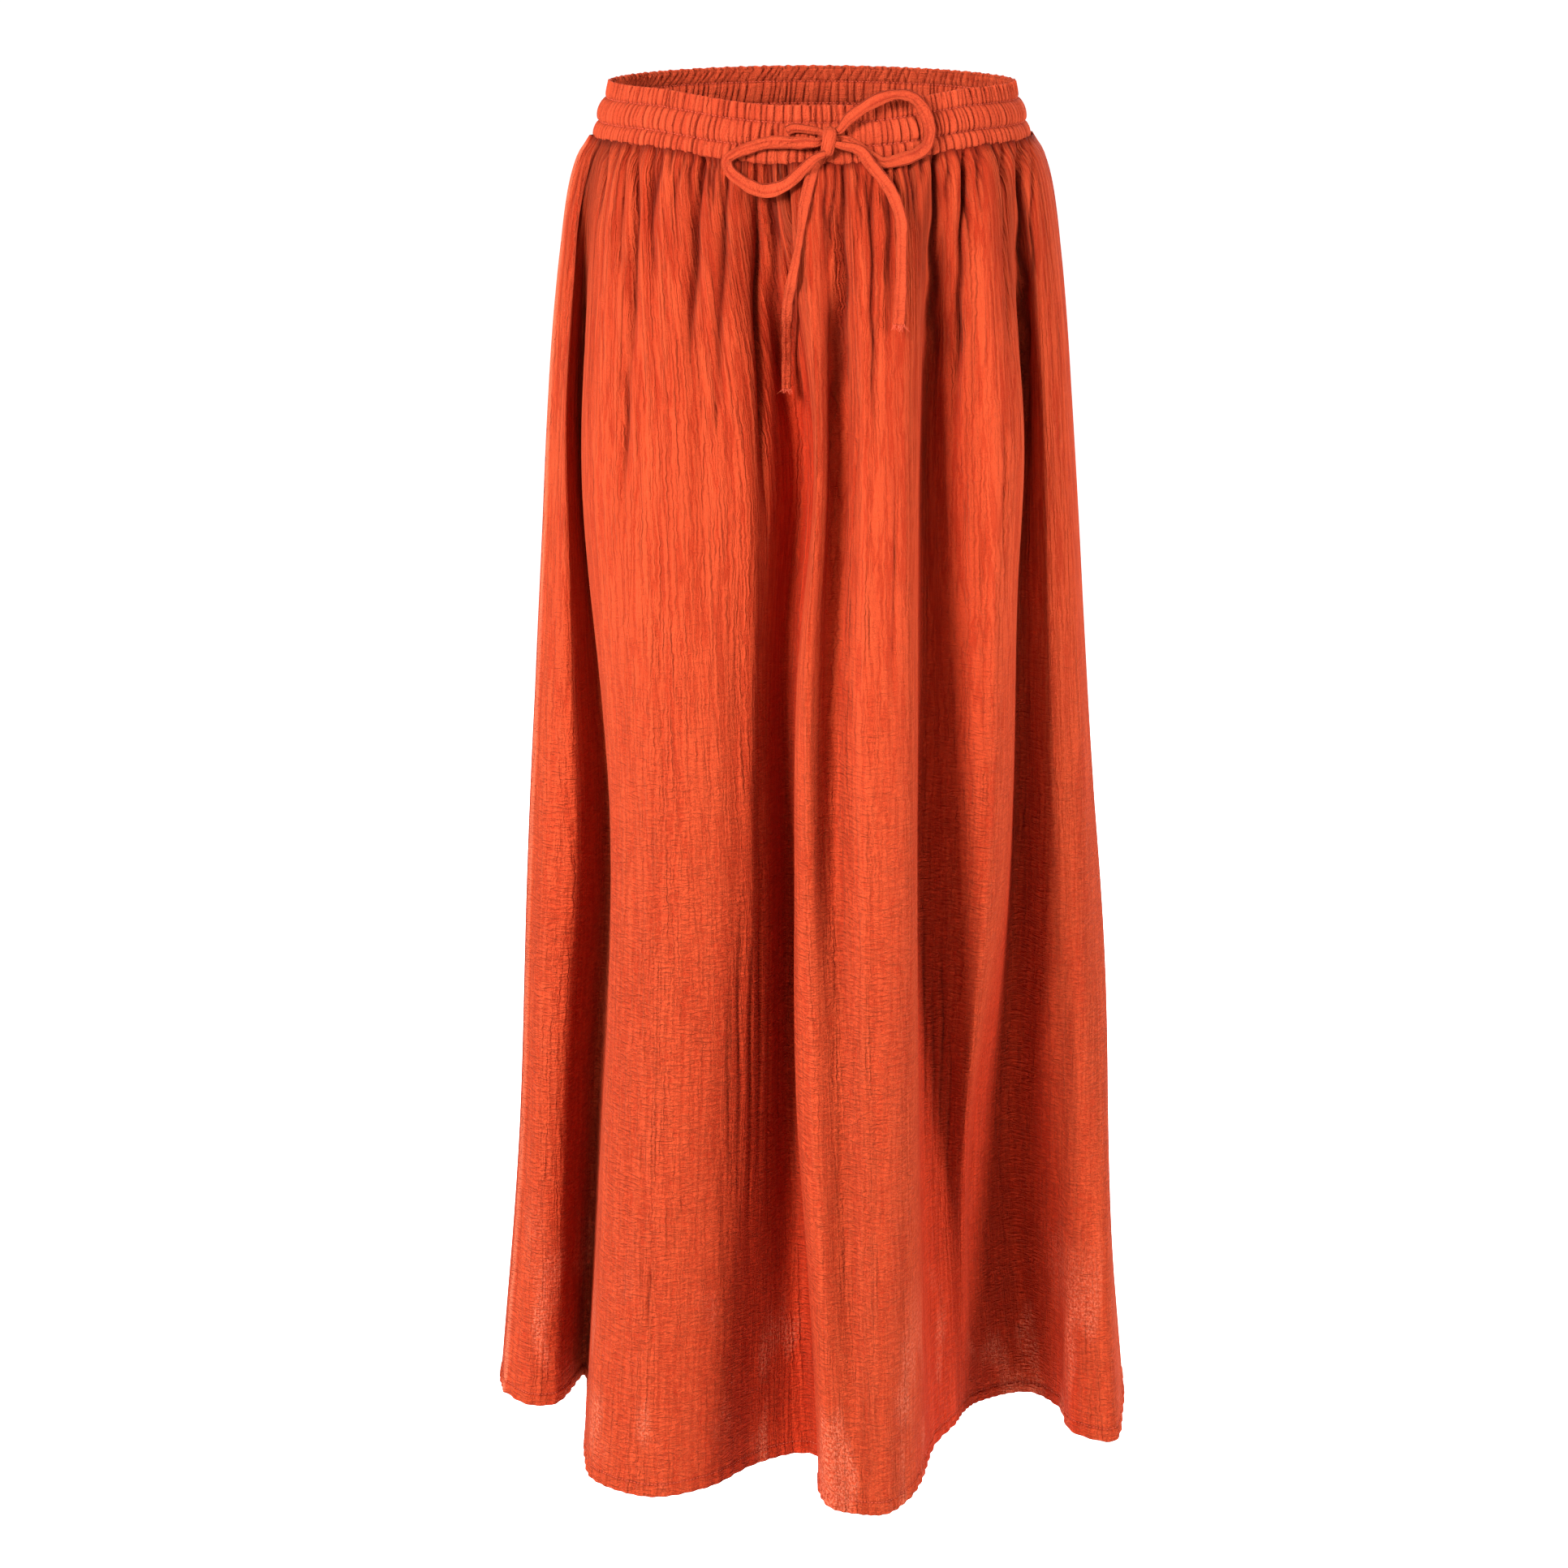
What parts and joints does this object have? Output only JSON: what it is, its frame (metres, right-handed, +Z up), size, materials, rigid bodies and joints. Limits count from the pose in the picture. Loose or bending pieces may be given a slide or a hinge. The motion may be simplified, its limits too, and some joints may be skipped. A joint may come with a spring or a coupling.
{
  "type": "maxi skirt",
  "caption": "Ankle-length gathered skirt in worn, hollow form, with a stitched elastic waistband and a self-fabric drawstring bow at the front.",
  "frame": {"origin": "centre of the waistband's ring at half its front height, where the wearer's waist holds the skirt", "axes": "+Z up the wearer's body; the front with the bow faces -Y; +X is to the viewer's right of the front"},
  "size_m": [0.4636, 0.4643, 0.9616],
  "materials": {
    "panel_cloth": "orange-rust crinkled cotton double gauze, matt",
    "band_cloth": "the same gauze, densely gathered and stitched",
    "string_cloth": "flat tube of the same gauze, edge-stitched"
  },
  "bodies": {
    "root": {"waistband": "band_cloth", "front_panel": "panel_cloth", "back_panel": "panel_cloth", "drawstring_exit": "string_cloth", "drawstring_left_loop": "string_cloth", "drawstring_right_loop": "string_cloth", "drawstring_left_tail": "string_cloth", "drawstring_right_tail": "string_cloth", "drawstring_knot": "string_cloth"}
  },
  "joints": []
}
